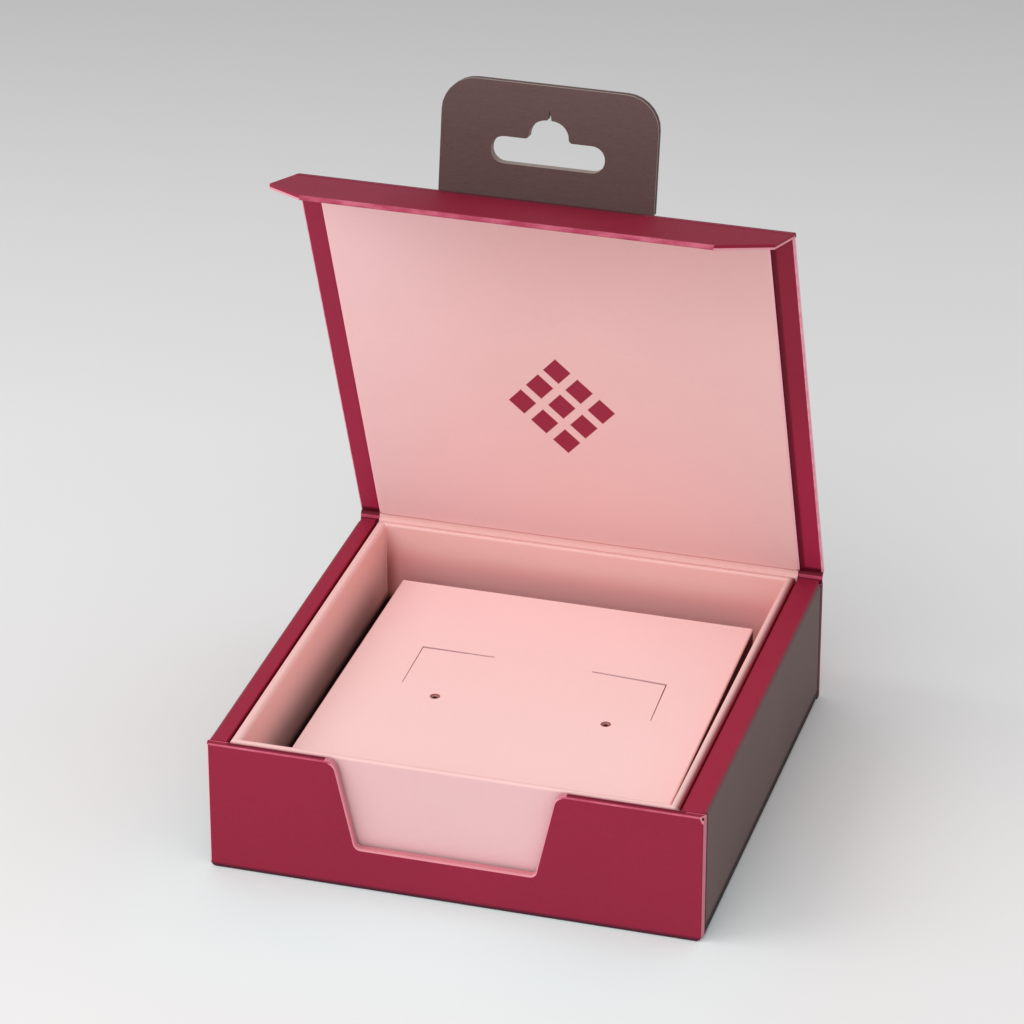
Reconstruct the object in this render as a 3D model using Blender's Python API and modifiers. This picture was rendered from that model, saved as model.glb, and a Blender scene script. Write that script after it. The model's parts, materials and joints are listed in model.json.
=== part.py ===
"""Earring box: a folded paperboard case with a hinged lid, front flap and hang tab.

Metres, +Z up. The origin is the middle of the base's underside, +X is to the
right and +Y runs from the notched front to the hinge at the back.
"""
import math

import bmesh
import bpy
from mathutils import Matrix

# Overall size of the closed base
box_width = 0.089
box_depth = 0.088
box_height = 0.0247

# Boards, papers and the gaps between them
front_thickness = 0.0015        # front panel, a rolled double wall
back_thickness = 0.0016         # back panel, a rolled double wall
side_thickness = 0.0009         # brown side panels
frame_ply = 0.0008              # folded ledge frames
floor_thickness = 0.0012
lid_thickness = 0.0012
paper_thickness = 0.0003        # hinge papers and the lid's cover sheet
liner_thickness = 0.0004
flap_thickness = 0.0009
tab_ply = 0.00085
glue_gap = 0.0002               # between two glued layers
fit_gap = 0.0003                # between neighbouring pieces
side_joint_gap = 0.0005         # side panel to front and back panel
board_edge = 0.0002             # softened edges of the boards
weld_distance = 0.000001

# Base
left_ledge_width = 0.0034       # side frames, seen from above
right_ledge_width = 0.0046
side_lift = 0.0007              # lower edge of a side panel above the table
notch_top_half = 0.0198         # half width of the front notch at its mouth
notch_floor_half = 0.0161
notch_floor_height = 0.0079     # above the table
notch_shift = 0.0014            # the notch stands this far left of the middle
notch_mouth_radius = 0.0022
notch_floor_radius = 0.0011

# Tray
tray_wall = 0.0019
tray_side_gap = 0.0004
tray_front_slot = 0.0006
tray_back_slot = 0.0009
tray_edge = 0.00055             # rounding of the tray's folds

# Earring card
card_drop = 0.0080              # card surface below the rim of the tray
card_ply = 0.0005
card_side_gap = 0.0042
card_front_gap = 0.0005
card_back_gap = 0.0038
card_fold_radius = 0.0004
hole_radius = 0.0009
hole_half_spacing = 0.0159
hole_shift = 0.0005             # the pair of holes stands this far right of the middle
hole_from_back = 0.0404
slit_width = 0.0003
slit_half_spacing = 0.0229      # from the box's middle to a slit's corner
slit_from_back = 0.0238
slit_arm = 0.0131

# Lid, its hinge and its lining
lid_open_angle = math.radians(68.2)
hinge_rise = 0.0009             # hinge line above the rim of the base
lid_hinge_gap = 0.0004          # hinge line to the lid board
lid_fold_gap = 0.0003           # lid board and cover sheet to the fold of the flap
flap_front_gap = 0.0003         # closed flap to the front panel
crease_height = 0.0009
crease_setback = 0.0001         # crease paper in front of the hinge line
hinge_leg_depth = 0.0120        # how far the pink hinge paper reaches down
liner_side_margin = 0.0039
liner_back_margin = 0.0007
liner_front_margin = 0.0020
cover_side_margin = 0.0003
cover_hinge_margin = 0.0008

# Front flap
flap_fold_angle = math.radians(51.5)
flap_ground_gap = 0.0012        # closed flap above the table
flap_fold_gap = 0.0003
flap_chamfer_width = 0.0084
flap_chamfer_depth = 0.0092

# Hang tab
tab_fold_angle = math.radians(31.0)
tab_width = 0.0386
tab_height = 0.0202
tab_radius = 0.0060
tab_setback = 0.0007            # tab crease behind the fold of the flap
tab_cover_gap = 0.0002          # folded tab to the cover sheet
hang_slot_half = 0.0102
hang_slot_height = 0.0048
hang_slot_base = 0.0058         # above the crease
hang_dome_radius = 0.0036
hang_dome_fillet = 0.0007
hang_nick_half = 0.0004
hang_nick_height = 0.0017
round_end_share = 0.98          # slot end radius, of half its height

cut_overrun = 0.0010            # cutters reach this far past what they cut

# Places that follow from the sizes above
half_width = box_width / 2
front_y = -box_depth / 2
back_y = box_depth / 2
front_inner_y = front_y + front_thickness
back_inner_y = back_y - back_thickness
frame_foot_x = half_width - side_thickness - side_joint_gap
frame_front_y = front_inner_y + side_joint_gap
frame_back_y = back_inner_y - side_joint_gap
frame_length = frame_back_y - frame_front_y
frame_middle_y = (frame_back_y + frame_front_y) / 2
tray_bottom = floor_thickness + fit_gap
tray_half = half_width - (left_ledge_width + right_ledge_width) / 2 - tray_side_gap
tray_middle_x = (left_ledge_width - right_ledge_width) / 2
tray_front_y = front_inner_y + tray_front_slot
tray_back_y = back_inner_y - tray_back_slot
card_half = tray_half - tray_wall - card_side_gap
card_front_y = tray_front_y + tray_wall + card_front_gap
card_back_y = tray_back_y - tray_wall - card_back_gap
card_top = box_height - card_drop
card_foot = tray_bottom + tray_wall + fit_gap
hinge_y = back_y
hinge_z = box_height + hinge_rise
lid_length = box_depth + flap_front_gap
flap_depth = hinge_z - flap_ground_gap
tab_thickness = 2 * tab_ply + glue_gap
cover_bottom = lid_thickness + glue_gap
cover_top = cover_bottom + paper_thickness
tab_axis_rise = cover_top + tab_cover_gap + tab_thickness / 2


def clear_scene():
    for thing in list(bpy.data.objects):
        bpy.data.objects.remove(thing, do_unlink=True)


def new_collection(name):
    collection = bpy.data.collections.new(name)
    bpy.context.scene.collection.children.link(collection)
    return collection


def new_material(name, colour, roughness):
    material = bpy.data.materials.new(name)
    material.use_nodes = True
    shader = material.node_tree.nodes["Principled BSDF"]
    shader.inputs["Base Color"].default_value = (*colour, 1.0)
    shader.inputs["Roughness"].default_value = roughness
    shader.inputs["Metallic"].default_value = 0.0
    material.diffuse_color = (*colour, 1.0)
    return material


def add_object(name, data, collection, material=None, parent=None):
    piece = bpy.data.objects.new(name, data)
    collection.objects.link(piece)
    if material is not None:
        piece.data.materials.append(material)
    piece.parent = parent
    return piece


def add_axis(name, place, turn, parent=None):
    """An empty on a crease; turning it about X moves what hangs on it."""
    axis = add_object(name, None, parts, None, parent)
    axis.location = place
    axis.rotation_euler.x = turn
    return axis


def soften(piece, width, segments=2):
    bevel = piece.modifiers.new("soft_edges", "BEVEL")
    bevel.width = width
    bevel.segments = segments
    bevel.limit_method = "ANGLE"
    bevel.angle_limit = math.radians(40)
    bevel.use_clamp_overlap = True


def mesh_from(name, shape):
    mesh = bpy.data.meshes.new(name)
    shape.to_mesh(mesh)
    shape.free()
    return mesh


def board(name, low, high, material, parent=None, edge=board_edge):
    """A flat board between two corners, in its parent's frame."""
    size = [top - bottom for bottom, top in zip(low, high)]
    middle = [(top + bottom) / 2 for bottom, top in zip(low, high)]
    shape = bmesh.new()
    bmesh.ops.create_cube(shape, size=1.0, matrix=Matrix.Diagonal((*size, 1.0)))
    piece = add_object(name, mesh_from(name, shape), parts, material, parent)
    piece.location = middle
    if edge:
        soften(piece, edge)


def rounded_outline(corners, steps=5):
    """Points of a closed outline; each corner is (x, y, radius)."""
    points = []
    for index, (x, y, radius) in enumerate(corners):
        if radius == 0:
            points.append((x, y))
            continue
        before = corners[index - 1]
        after = corners[(index + 1) % len(corners)]
        into = math.atan2(before[1] - y, before[0] - x)
        out = math.atan2(after[1] - y, after[0] - x)
        opening = (out - into + math.pi) % (2 * math.pi) - math.pi
        reach = radius / math.tan(abs(opening) / 2)
        bisector = into + opening / 2
        distance = radius / math.sin(abs(opening) / 2)
        centre_x = x + distance * math.cos(bisector)
        centre_y = y + distance * math.sin(bisector)
        start_x = x + reach * math.cos(into)
        start_y = y + reach * math.sin(into)
        first = math.atan2(start_y - centre_y, start_x - centre_x)
        sweep = math.copysign(math.pi - abs(opening), -opening)
        for step in range(steps + 1):
            angle = first + sweep * step / steps
            points.append((centre_x + radius * math.cos(angle), centre_y + radius * math.sin(angle)))
    return points


def plate(name, outlines, thickness, collection, material=None, parent=None):
    """A flat sheet from closed outlines in XY, half its thickness to each side."""
    curve = bpy.data.curves.new(name + "_outline", "CURVE")
    curve.dimensions = "2D"
    curve.fill_mode = "BOTH"
    curve.extrude = thickness / 2
    for outline in outlines:
        spline = curve.splines.new("POLY")
        spline.points.add(len(outline) - 1)
        for point, (x, y) in zip(spline.points, outline):
            point.co = (x, y, 0.0, 1.0)
        spline.use_cyclic_u = True
    guide = add_object(name + "_outline", curve, collection, None, parent)
    bpy.context.view_layer.update()
    graph = bpy.context.evaluated_depsgraph_get()
    mesh = bpy.data.meshes.new_from_object(guide.evaluated_get(graph))
    mesh.name = name
    shape = bmesh.new()
    shape.from_mesh(mesh)
    bmesh.ops.remove_doubles(shape, verts=shape.verts, dist=weld_distance)
    bmesh.ops.recalc_face_normals(shape, faces=shape.faces)
    shape.to_mesh(mesh)
    shape.free()
    piece = add_object(name, mesh, collection, material, parent)
    piece.matrix_world = guide.matrix_world
    bpy.data.objects.remove(guide, do_unlink=True)
    return piece


def stand_up(piece, y):
    """Turns a plate so that its outline lies in X and Z at the given depth."""
    piece.rotation_euler.x = math.pi / 2
    piece.location.y = y


def cut(piece, cutter):
    cutter.hide_render = True
    cutter.display_type = "WIRE"
    boolean = piece.modifiers.new(cutter.name, "BOOLEAN")
    boolean.operation = "DIFFERENCE"
    boolean.solver = "EXACT"
    boolean.object = cutter


def make_floor():
    reach = half_width - side_thickness - fit_gap
    low = (-reach, front_inner_y + fit_gap, 0.0)
    high = (reach, back_inner_y - fit_gap, floor_thickness)
    board("base_floor", low, high, burgundy)


def make_front_panel():
    outline = rounded_outline([
        (-half_width, 0.0, 0),
        (half_width, 0.0, 0),
        (half_width, box_height, 0),
        (notch_top_half - notch_shift, box_height, notch_mouth_radius),
        (notch_floor_half - notch_shift, notch_floor_height, notch_floor_radius),
        (-notch_floor_half - notch_shift, notch_floor_height, notch_floor_radius),
        (-notch_top_half - notch_shift, box_height, notch_mouth_radius),
        (-half_width, box_height, 0),
    ])
    panel = plate("front_panel", [outline], front_thickness, parts, burgundy)
    stand_up(panel, front_y + front_thickness / 2)
    soften(panel, board_edge)


def make_back_panel():
    """Its upper edge leaves room for the hinge papers that lie on it."""
    low = (-half_width, back_inner_y, 0.0)
    high = (half_width, back_y, box_height - paper_thickness - glue_gap)
    board("back_panel", low, high, burgundy)


def make_side_panel(name, side):
    """Brown outer panel; its upper edge is mitred against the ledge."""
    outer = side * half_width
    inner = side * (half_width - side_thickness)
    outline = [
        (inner, side_lift),
        (outer, side_lift),
        (outer, box_height),
        (inner, box_height - side_thickness),
    ]
    panel = plate(name, [outline], frame_length, parts, brown)
    stand_up(panel, frame_middle_y)


def make_ledge_frame(name, side, width):
    """Burgundy ledge with its inner wall and the foot glued to the floor."""
    inner = half_width - width
    wall = inner + frame_ply
    bottom = floor_thickness + fit_gap
    under = box_height - frame_ply
    mitre = half_width - fit_gap
    profile = [
        (inner, bottom),
        (frame_foot_x, bottom),
        (frame_foot_x, bottom + frame_ply),
        (wall, bottom + frame_ply),
        (wall, under),
        (mitre - frame_ply, under),
        (mitre, box_height),
        (inner, box_height),
    ]
    outline = [(side * x, z) for x, z in profile]
    frame = plate(name, [outline], frame_length, parts, burgundy)
    stand_up(frame, frame_middle_y)


def make_tray():
    """One folded board: an open box whose walls are rolled double."""
    size = (2 * tray_half, tray_back_y - tray_front_y, box_height - tray_bottom)
    shape = bmesh.new()
    bmesh.ops.create_cube(shape, size=1.0, matrix=Matrix.Diagonal((*size, 1.0)))
    shape.normal_update()
    top = [face for face in shape.faces if face.normal.z > 0.5]
    bmesh.ops.delete(shape, geom=top, context="FACES_ONLY")
    tray = add_object("inner_tray", mesh_from("inner_tray", shape), parts, pink)
    tray.location = (tray_middle_x, (tray_back_y + tray_front_y) / 2, (box_height + tray_bottom) / 2)
    wall = tray.modifiers.new("walls", "SOLIDIFY")
    wall.thickness = tray_wall
    wall.offset = -1.0
    wall.use_even_offset = True
    wall.use_quality_normals = True
    soften(tray, tray_edge, 3)


def make_hole_cutter(name, height):
    shape = bmesh.new()
    bmesh.ops.create_cone(shape, cap_ends=True, segments=24, radius1=hole_radius,
                          radius2=hole_radius, depth=height)
    return add_object(name, mesh_from(name, shape), cutters)


def make_slit_cutter(name, side, height):
    corner_x = side * slit_half_spacing
    corner_y = card_back_y - slit_from_back
    outline = [
        (corner_x, corner_y),
        (corner_x - side * slit_arm, corner_y),
        (corner_x - side * slit_arm, corner_y - slit_width),
        (corner_x - side * slit_width, corner_y - slit_width),
        (corner_x - side * slit_width, corner_y - slit_arm),
        (corner_x, corner_y - slit_arm),
    ]
    return plate(name, [outline], height, cutters)


def make_card():
    """Platform card on two folded legs, with two post holes and two angled slits."""
    under = card_top - card_ply
    inside = card_half - card_ply
    profile = rounded_outline([
        (-card_half, card_foot, 0),
        (-inside, card_foot, 0),
        (-inside, under, 0),
        (inside, under, 0),
        (inside, card_foot, 0),
        (card_half, card_foot, 0),
        (card_half, card_top, card_fold_radius),
        (-card_half, card_top, card_fold_radius),
    ], steps=3)
    card = plate("earring_card", [profile], card_back_y - card_front_y, parts, pale_pink)
    stand_up(card, (card_back_y + card_front_y) / 2)
    card.location.x = tray_middle_x
    height = card_ply + 2 * cut_overrun
    middle = card_top - card_ply / 2
    for name, side in (("left", -1), ("right", 1)):
        hole = make_hole_cutter("post_hole_" + name, height)
        hole_x = side * hole_half_spacing + hole_shift
        hole.location = (hole_x, card_back_y - hole_from_back, middle)
        cut(card, hole)
        slit = make_slit_cutter("slit_" + name, side, height)
        slit.location.z = middle
        cut(card, slit)


def make_hinge_papers():
    """Burgundy crease paper, and the pink paper that runs down behind the tray."""
    back = hinge_y - crease_setback
    front = back - paper_thickness
    bottom = box_height - paper_thickness
    low = (-half_width, front, bottom)
    high = (half_width, back, bottom + crease_height)
    board("hinge_crease", low, high, burgundy, edge=0)
    leg_front = tray_back_y + (tray_back_slot - paper_thickness) / 2
    leg_back = leg_front + paper_thickness
    flange_back = front - fit_gap
    profile = [
        (leg_front, box_height - hinge_leg_depth),
        (leg_back, box_height - hinge_leg_depth),
        (leg_back, bottom),
        (flange_back, bottom),
        (flange_back, box_height),
        (leg_front, box_height),
    ]
    paper = plate("hinge_liner", [profile], 2 * tray_half, parts, pink)
    paper.rotation_euler = (math.pi / 2, 0.0, math.pi / 2)
    paper.location.x = tray_middle_x


def make_lid(hinge):
    """Lid board with its cover sheet outside and its raised lining inside."""
    low = (-half_width, lid_fold_gap - lid_length, 0.0)
    high = (half_width, -lid_hinge_gap, lid_thickness)
    board("lid_board", low, high, burgundy, hinge)
    reach = half_width - liner_side_margin
    low = (-reach, liner_front_margin - lid_length, -glue_gap - liner_thickness)
    high = (reach, -liner_back_margin, -glue_gap)
    board("lid_liner", low, high, pink, hinge, edge=0)
    reach = half_width - cover_side_margin
    low = (-reach, lid_fold_gap - lid_length, cover_bottom)
    high = (reach, -cover_hinge_margin, cover_top)
    board("lid_cover_sheet", low, high, brown, hinge, edge=0)


def make_flap(hinge):
    side_depth = flap_depth - flap_chamfer_depth
    free_half = half_width - flap_chamfer_width
    outline = [
        (-half_width, -flap_fold_gap),
        (-half_width, -side_depth),
        (-free_half, -flap_depth),
        (free_half, -flap_depth),
        (half_width, -side_depth),
        (half_width, -flap_fold_gap),
    ]
    flap = plate("front_flap", [outline], flap_thickness, parts, burgundy, hinge)
    flap.location.z = flap_thickness / 2
    soften(flap, board_edge)


def hang_hole_outline():
    """A long slot with round ends; its middle rises to a dome with a nick."""
    bottom = -hang_slot_base
    top = bottom - hang_slot_height
    end = round_end_share * hang_slot_height / 2
    nick_angle = math.asin(hang_nick_half / hang_dome_radius)
    foot_angle = 2 * math.asin(hang_dome_fillet / hang_dome_radius)
    steps = 6
    dome = []
    for step in range(steps + 1):
        angle = foot_angle + (math.pi / 2 - nick_angle - foot_angle) * step / steps
        dome.append((hang_dome_radius * math.cos(angle), top - hang_dome_radius * math.sin(angle), 0))
    mirrored = [(-x, y, radius) for x, y, radius in reversed(dome)]
    corners = [
        (-hang_slot_half, bottom, end),
        (hang_slot_half, bottom, end),
        (hang_slot_half, top, end),
        (hang_dome_radius, top, hang_dome_fillet),
        *dome,
        (0.0, top - hang_dome_radius - hang_nick_height, 0),
        *mirrored,
        (-hang_dome_radius, top, hang_dome_fillet),
        (-hang_slot_half, top, end),
    ]
    return rounded_outline(corners)


def make_tab(hinge):
    """Two plies glued together, each with the same hanging hole."""
    half = tab_width / 2
    outline = rounded_outline([
        (-half, 0.0, 0),
        (-half, -tab_height, tab_radius),
        (half, -tab_height, tab_radius),
        (half, 0.0, 0),
    ], steps=8)
    offset = (tab_ply + glue_gap) / 2
    for name, side in (("tab_front_ply", -1), ("tab_back_ply", 1)):
        ply = plate(name, [outline, hang_hole_outline()], tab_ply, parts, brown, hinge)
        ply.location.z = side * offset


clear_scene()
parts = new_collection("earring_box")
cutters = new_collection("cutters")
burgundy = new_material("burgundy_board", (0.33, 0.03, 0.07), 0.6)
brown = new_material("brown_board", (0.14, 0.10, 0.09), 0.65)
pink = new_material("pink_board", (0.74, 0.40, 0.38), 0.7)
pale_pink = new_material("pale_pink_card", (0.86, 0.56, 0.53), 0.7)

lid_hinge = add_axis("lid_hinge_axis", (0.0, hinge_y, hinge_z), -lid_open_angle)
flap_hinge = add_axis("flap_crease_axis", (0.0, -lid_length, 0.0), flap_fold_angle, lid_hinge)
tab_place = (0.0, tab_setback - lid_length, tab_axis_rise)
tab_hinge = add_axis("tab_crease_axis", tab_place, -tab_fold_angle, lid_hinge)

make_floor()
make_front_panel()
make_back_panel()
for piece_side, sign, ledge_width in (("left", -1, left_ledge_width), ("right", 1, right_ledge_width)):
    make_side_panel("side_panel_" + piece_side, sign)
    make_ledge_frame("ledge_frame_" + piece_side, sign, ledge_width)
make_tray()
make_card()
make_hinge_papers()
make_lid(lid_hinge)
make_flap(flap_hinge)
make_tab(tab_hinge)
bpy.context.view_layer.update()
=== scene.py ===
import json
import math

import bmesh
import bpy
from mathutils import Matrix, Vector, noise


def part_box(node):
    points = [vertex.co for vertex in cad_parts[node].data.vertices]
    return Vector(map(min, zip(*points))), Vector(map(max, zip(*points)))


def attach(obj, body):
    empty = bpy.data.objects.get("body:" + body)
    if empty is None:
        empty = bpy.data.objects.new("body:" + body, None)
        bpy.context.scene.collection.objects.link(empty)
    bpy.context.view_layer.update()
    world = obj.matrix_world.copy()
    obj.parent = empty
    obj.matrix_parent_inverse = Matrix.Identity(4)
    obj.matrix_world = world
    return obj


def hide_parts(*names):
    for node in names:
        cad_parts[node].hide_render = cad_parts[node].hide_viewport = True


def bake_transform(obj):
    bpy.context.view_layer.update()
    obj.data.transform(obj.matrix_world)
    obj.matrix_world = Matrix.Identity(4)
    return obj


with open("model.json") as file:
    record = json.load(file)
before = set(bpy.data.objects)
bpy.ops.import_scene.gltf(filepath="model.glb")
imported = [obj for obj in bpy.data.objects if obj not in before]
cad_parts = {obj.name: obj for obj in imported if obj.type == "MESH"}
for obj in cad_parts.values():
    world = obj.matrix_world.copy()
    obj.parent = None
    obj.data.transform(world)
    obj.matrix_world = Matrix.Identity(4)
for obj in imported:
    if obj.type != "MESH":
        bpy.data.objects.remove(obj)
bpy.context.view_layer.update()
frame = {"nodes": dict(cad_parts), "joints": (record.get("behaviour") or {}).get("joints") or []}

mm = 0.001  # the sizes below are in millimetres
joints = {joint["name"]: joint for joint in frame["joints"]}


# The lid, flap and tab are drawn as if closed and flat, then turned to where they rest.
def hingePlace(jointName, turn):
    return Matrix.Translation(joints[jointName]["pos_m"]) @ Matrix.Rotation(math.radians(turn), 4, "X")


lidTurn = joints["lid_hinge"]["range_deg"][0]
flapTurn = lidTurn + joints["flap_crease"]["range_deg"][1]
tabTurn = lidTurn + joints["tab_crease"]["range_deg"][0]
basePlace = Matrix.Identity(4)
standing = Matrix.Rotation(math.radians(90), 4, "X")  # a panel drawn flat, stood upright
lidPlace = hingePlace("lid_hinge", lidTurn)
flapPlace = hingePlace("flap_crease", flapTurn)
tabPlace = hingePlace("tab_crease", tabTurn)


def pointOn(place, y, z):
    return place @ Vector((0, y * mm, z * mm)) / mm


def span(node):  # a solid's lowest and highest corner
    return [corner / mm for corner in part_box(node)]


screenFacts = {"lift": 0.055, "power": 2.4, "straightTo": 0.04, "straightSlope": 12.92}


def lightOf(share):  # what a shader works with, for a share of the screen's full light
    if share > screenFacts["straightTo"]:
        return ((share + screenFacts["lift"]) / (1 + screenFacts["lift"])) ** screenFacts["power"]
    return share / screenFacts["straightSlope"]


def screenColour(red, green, blue):
    return tuple(lightOf(part / 255) for part in (red, green, blue)) + (1.0,)


class Wire:  # an output socket that can be added to and multiplied
    def __init__(self, finish, socket):
        self.finish = finish
        self.socket = socket

    def sum(self, operation, first, second=0.0):
        return self.finish.add("Math", {"operation": operation}, {0: first, 1: second})

    def __add__(self, other):
        return self.sum("ADD", self, other)

    def __radd__(self, other):
        return self.sum("ADD", other, self)

    def __sub__(self, other):
        return self.sum("SUBTRACT", self, other)

    def __rsub__(self, other):
        return self.sum("SUBTRACT", other, self)

    def __mul__(self, other):
        return self.sum("MULTIPLY", self, other)

    def __abs__(self):
        return self.sum("ABSOLUTE", self)

    def fraction(self):
        return self.sum("FRACT", self)

    def larger(self, other):
        return self.sum("MAXIMUM", self, other)

    def rise(self, start, end):  # 0 up to start, 1 from end on
        return self.finish.add("MapRange", {"interpolation_type": "SMOOTHSTEP"},
                               {"Value": self, "From Min": start, "From Max": end})


class Finish:  # the nodes of a material or the world, while they are laid
    def __init__(self, owner):
        self.owner = owner
        owner.use_nodes = True
        self.tree = owner.node_tree
        self.tree.nodes.clear()

    def add(self, kind, settings, values, output=0):
        node = self.tree.nodes.new("ShaderNode" + kind)
        for setting, value in settings.items():
            if setting == "stops":
                while len(node.color_ramp.elements) < len(value):
                    node.color_ramp.elements.new(1.0)
                for element, (position, colour) in zip(node.color_ramp.elements, value):
                    element.position = position
                    element.color = colour
            else:
                setattr(node, setting, value)
        for socket, value in values.items():
            if isinstance(value, Wire):
                self.tree.links.new(value.socket, node.inputs[socket])
            else:
                node.inputs[socket].default_value = value
        return Wire(self, node.outputs[output]) if node.outputs else node

    def mix(self, factor, first, second, blend="MIX"):
        settings = {"data_type": "RGBA", "blend_type": blend}
        return self.add("Mix", settings, {0: factor, 6: first, 7: second}, 2)

    def grain(self, place, scale, detail, roughness=0.5):
        return self.add("TexNoise", {}, {
            "Vector": place, "Scale": scale, "Detail": detail, "Roughness": roughness})

    def stretched(self, place, scales):
        return self.add("VectorMath", {"operation": "MULTIPLY"}, {0: place, 1: scales})

    def sides(self, place):  # x, y and z in millimetres
        large = self.add("VectorMath", {"operation": "SCALE"}, {0: place, "Scale": 1 / mm})
        return [self.add("SeparateXYZ", {}, {0: large}, side) for side in range(3)]


def spotOn(finish, place):  # a surface's own coordinates, flat on the part it belongs to
    spot = finish.add("TexCoord", {}, {}, 3)
    if place == basePlace:
        return spot
    return finish.add("Mapping", {"vector_type": "TEXTURE"},
                      {"Vector": spot, "Location": place.translation, "Rotation": place.to_euler()})


# The grain of every sheet: detail and roughness of each noise, and what it adds to the surface's roughness
grainFacts = {
    "broad": (2.0, 0.5), "mottle": (3.0, 0.6), "fibre": (2.0, 0.6), "mottleRough": 0.18, "fibreRough": 0.12,
}


def paper(name, facts, place=basePlace, drawInk=None):
    finish = Finish(bpy.data.materials.new(name))
    spot = spotOn(finish, place)
    combed = finish.stretched(spot, facts["fibreStretch"])
    broad = finish.grain(spot, facts["broadScale"], *grainFacts["broad"]) - 0.5
    mottle = finish.grain(spot, facts["mottleScale"], *grainFacts["mottle"]) - 0.5
    fibre = finish.grain(combed, facts["fibreScale"], *grainFacts["fibre"]) - 0.5
    tone = 1 + broad * facts["broadTone"] + mottle * facts["mottleTone"] + fibre * facts["fibreTone"]
    ink = drawInk(finish, spot, facts) if drawInk else facts["ink"]
    colour = finish.mix(1.0, ink, tone, "MULTIPLY")
    rough = facts["rough"] + mottle * grainFacts["mottleRough"] + fibre * grainFacts["fibreRough"]
    height = mottle * facts["mottleRelief"] + fibre * facts["fibreRelief"] + broad * facts["broadRelief"]
    bump = finish.add("Bump", {}, {"Height": height, "Strength": 1.0, "Distance": facts["relief"] * mm})
    surface = finish.add("BsdfPrincipled", {}, {
        "Base Color": colour, "Roughness": rough, "Normal": bump, "Specular IOR Level": facts["gloss"]})
    finish.add("OutputMaterial", {}, {"Surface": surface})
    return finish.owner


burgundyFacts = {
    "ink": screenColour(156, 36, 64), "rough": 0.58, "gloss": 0.16, "relief": 0.05,
    "broadScale": 38, "broadTone": 0.16, "broadRelief": 0.6,
    "mottleScale": 1300, "mottleTone": 0.16, "mottleRelief": 0.5,
    "fibreScale": 2600, "fibreStretch": (0.35, 1.0, 1.0), "fibreTone": 0.10, "fibreRelief": 0.4,
}
brownFacts = {
    "ink": screenColour(98, 80, 79), "rough": 0.6, "gloss": 0.3, "relief": 0.05,
    "broadScale": 30, "broadTone": 0.12, "broadRelief": 0.5,
    "mottleScale": 1500, "mottleTone": 0.22, "mottleRelief": 0.6,
    "fibreScale": 2600, "fibreStretch": (0.25, 1.0, 1.0), "fibreTone": 0.22, "fibreRelief": 0.5,
}
pinkFacts = {
    "ink": screenColour(244, 197, 193), "rough": 0.62, "gloss": 0.25, "relief": 0.05,
    "broadScale": 32, "broadTone": 0.06, "broadRelief": 1.4,
    "mottleScale": 900, "mottleTone": 0.035, "mottleRelief": 0.4,
    "fibreScale": 2400, "fibreStretch": (0.3, 1.0, 1.0), "fibreTone": 0.03, "fibreRelief": 0.3,
}
rawFacts = {
    "ink": screenColour(236, 190, 194), "rough": 0.85, "gloss": 0.15, "relief": 0.06,
    "broadScale": 160, "broadTone": 0.14, "broadRelief": 0.5,
    "mottleScale": 2200, "mottleTone": 0.22, "mottleRelief": 0.8,
    "fibreScale": 5000, "fibreStretch": (0.3, 0.3, 1.6), "fibreTone": 0.2, "fibreRelief": 0.8,
}
edgeFacts = dict(rawFacts, ink=screenColour(204, 128, 142), broadTone=0.08, mottleTone=0.12, fibreTone=0.1)


wornFacts = dict(
    burgundyFacts, ink=screenColour(186, 72, 98), rubbedInk=screenColour(212, 110, 134), rough=0.6,
    rubStretch=(0.4, 1.0, 1.0), rubScale=500, rubGrain=(4.0, 0.65), rubEnds=(0.3, 0.75),
)
lidEdgeFacts = dict(wornFacts, ink=screenColour(232, 140, 160), rubbedInk=screenColour(246, 180, 192))
flapFreeFacts = dict(
    wornFacts, ink=screenColour(170, 58, 86), rubbedInk=screenColour(204, 108, 130), gloss=0.08,
)


def wornInk(finish, spot, facts):  # a fold rubbed pale here and there
    rub = finish.grain(finish.stretched(spot, facts["rubStretch"]), facts["rubScale"], *facts["rubGrain"])
    return finish.mix(rub.rise(*facts["rubEnds"]), facts["ink"], facts["rubbedInk"])


# The inks below are laid by place: each pair is where a change starts and ends, in millimetres.
wrapFacts = dict(
    burgundyFacts, brownInk=screenColour(106, 86, 84), dimInk=screenColour(44, 24, 24),
    innerInk=screenColour(146, 28, 48), trayX=-0.45, trayEnds=(40.65, 40.9),
    foldEnds=(18.9, 20.4), outsideEnds=(42.3, 43.0), litZ=(2.1, 2.5), litY=(-42.1, -41.4),
)


def wrapInk(finish, spot, facts):  # one sheet, burgundy on the ledge and brown down the outside, with painted shade at its foot, at its front and along the ledge's inner edge
    x, y, z = finish.sides(spot)
    down = (abs(x) - z).rise(*facts["foldEnds"]) * abs(x).rise(*facts["outsideEnds"])
    # painted shadow: the brown is painted dim along the table and beside the front wall
    lit = z.rise(*facts["litZ"]) * y.rise(*facts["litY"])
    brown = finish.mix(lit, facts["dimInk"], facts["brownInk"])
    # painted shade: the ledge is painted darker along its inner edge, in the crevice beside the tray
    ledge = finish.mix(abs(x - facts["trayX"]).rise(*facts["trayEnds"]), facts["innerInk"], facts["ink"])
    return finish.mix(down, ledge, brown)


wallFacts = dict(
    burgundyFacts, ink=screenColour(151, 35, 62), footInk=screenColour(80, 24, 44), footEnds=(0.3, 1.1),
    topEnds=(24.4, 24.55), ledgeEnds=(40.8, 41.1), trayInk=screenColour(104, 20, 42), trayEnds=(-43.6, -43.1),
    rubbedInk=screenColour(214, 108, 132), rubbedEnds=(-42.9, -42.8),
)


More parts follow.
